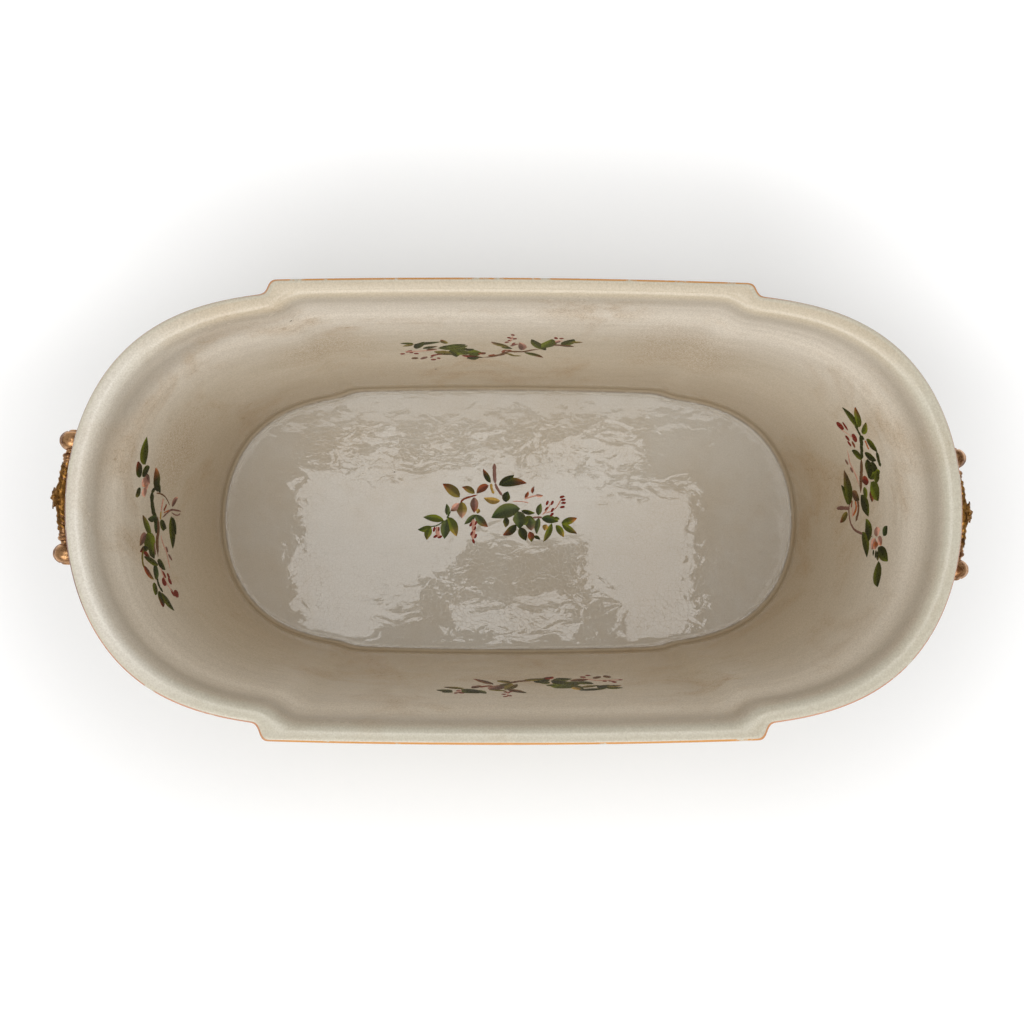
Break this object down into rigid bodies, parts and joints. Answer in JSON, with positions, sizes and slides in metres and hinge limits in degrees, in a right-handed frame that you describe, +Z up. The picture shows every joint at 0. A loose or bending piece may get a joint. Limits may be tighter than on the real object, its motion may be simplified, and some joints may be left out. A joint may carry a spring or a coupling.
{
  "type": "porcelain planter",
  "caption": "Oblong porcelain planter with rounded ends, stepped side panels, crackle glaze, painted sprigs and a fixed gilt bronze scroll handle at each end.",
  "frame": {"origin": "middle of the foot's underside, which is the bottom centre of the whole planter's box", "axes": "+X along the length towards the right handle, +Y towards the back panel, +Z up"},
  "size_m": [0.6212, 0.2976, 0.236],
  "materials": {
    "glazed_porcelain": "gloss",
    "gilt_bronze": "satin",
    "aged_bronze": "satin",
    "brass_stud": "satin",
    "setting_cement": "matte"
  },
  "bodies": {
    "root": {"porcelain_body": "glazed_porcelain", "right_handle_casting": "gilt_bronze", "left_handle_casting": "gilt_bronze", "right_garland": "aged_bronze", "left_garland": "aged_bronze", "right_front_stud": "brass_stud", "right_back_stud": "brass_stud", "left_front_stud": "brass_stud", "left_back_stud": "brass_stud", "right_front_cement": "setting_cement", "right_back_cement": "setting_cement", "left_front_cement": "setting_cement", "left_back_cement": "setting_cement", "right_front_garland_pin": "brass_stud", "right_back_garland_pin": "brass_stud", "left_front_garland_pin": "brass_stud", "left_back_garland_pin": "brass_stud"}
  },
  "joints": []
}
